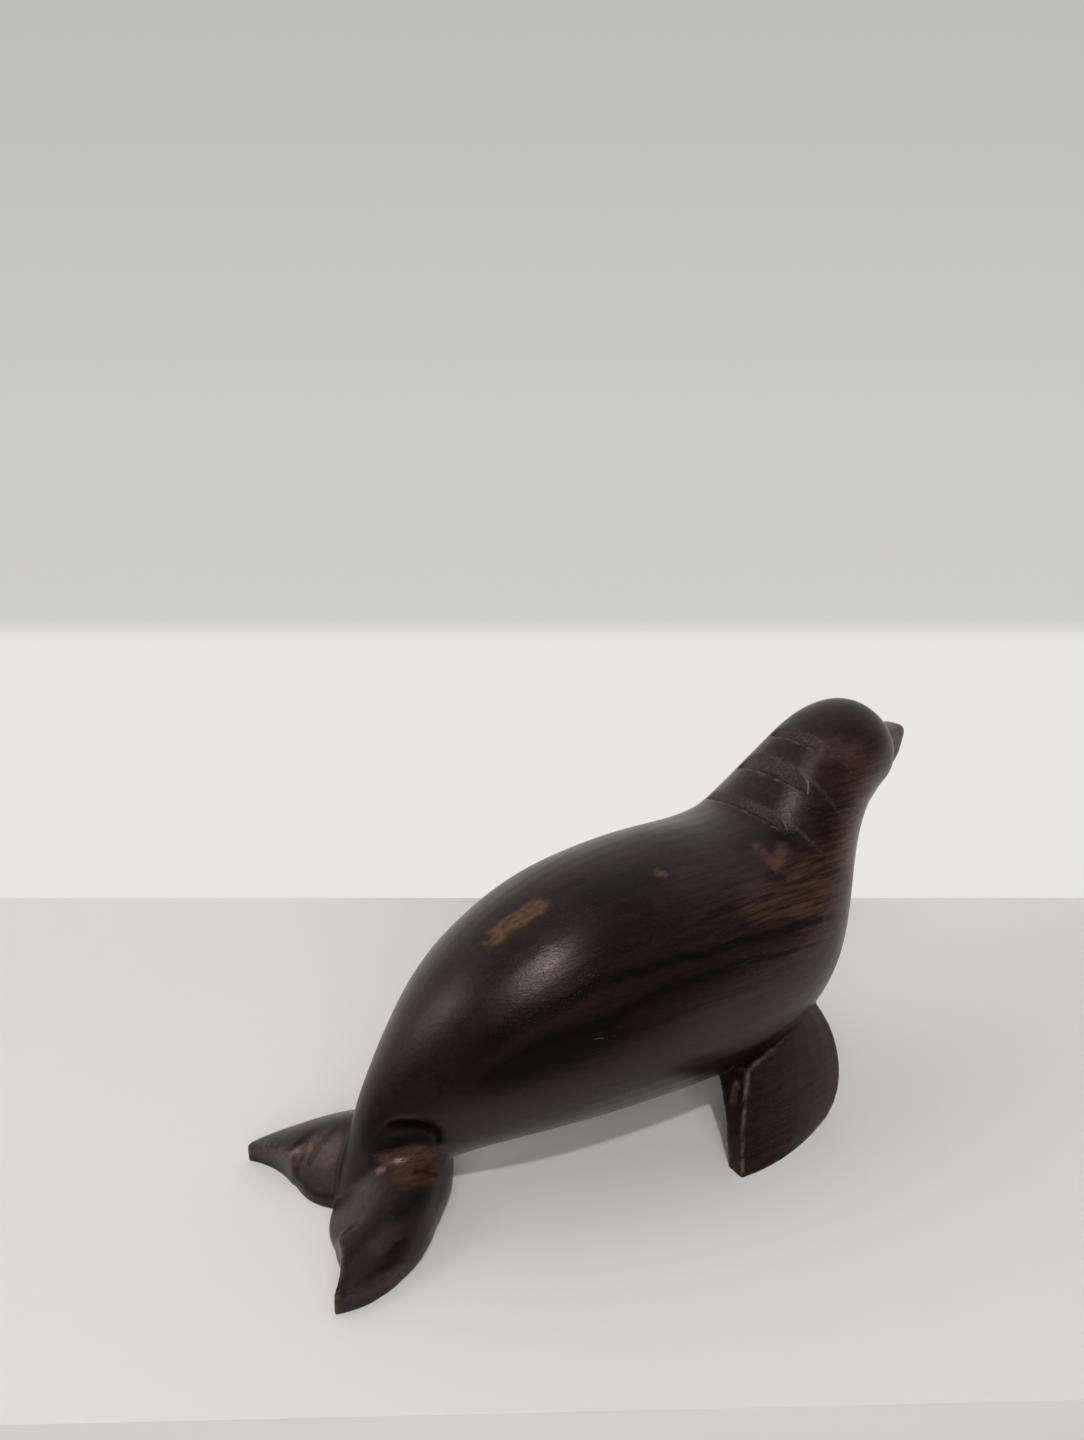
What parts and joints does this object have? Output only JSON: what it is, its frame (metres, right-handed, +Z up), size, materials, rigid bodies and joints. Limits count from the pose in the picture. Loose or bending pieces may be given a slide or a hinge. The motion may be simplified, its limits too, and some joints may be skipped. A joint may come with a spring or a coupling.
{
  "type": "seal figurine",
  "caption": "Carved hardwood seal figurine, head raised on folded neck, propped on two leaning front flippers and a spread pair of hind flippers.",
  "frame": {"origin": "centre of the bounding box on the ground plane", "axes": "+X from the tail tips towards the nose, +Y to the animal's left, +Z up"},
  "size_m": [0.1988, 0.0882, 0.1019],
  "materials": {
    "hardwood": "hand-polished satin, dark with reddish-brown streaks"
  },
  "bodies": {
    "root": {"seal": "hardwood"}
  },
  "joints": []
}
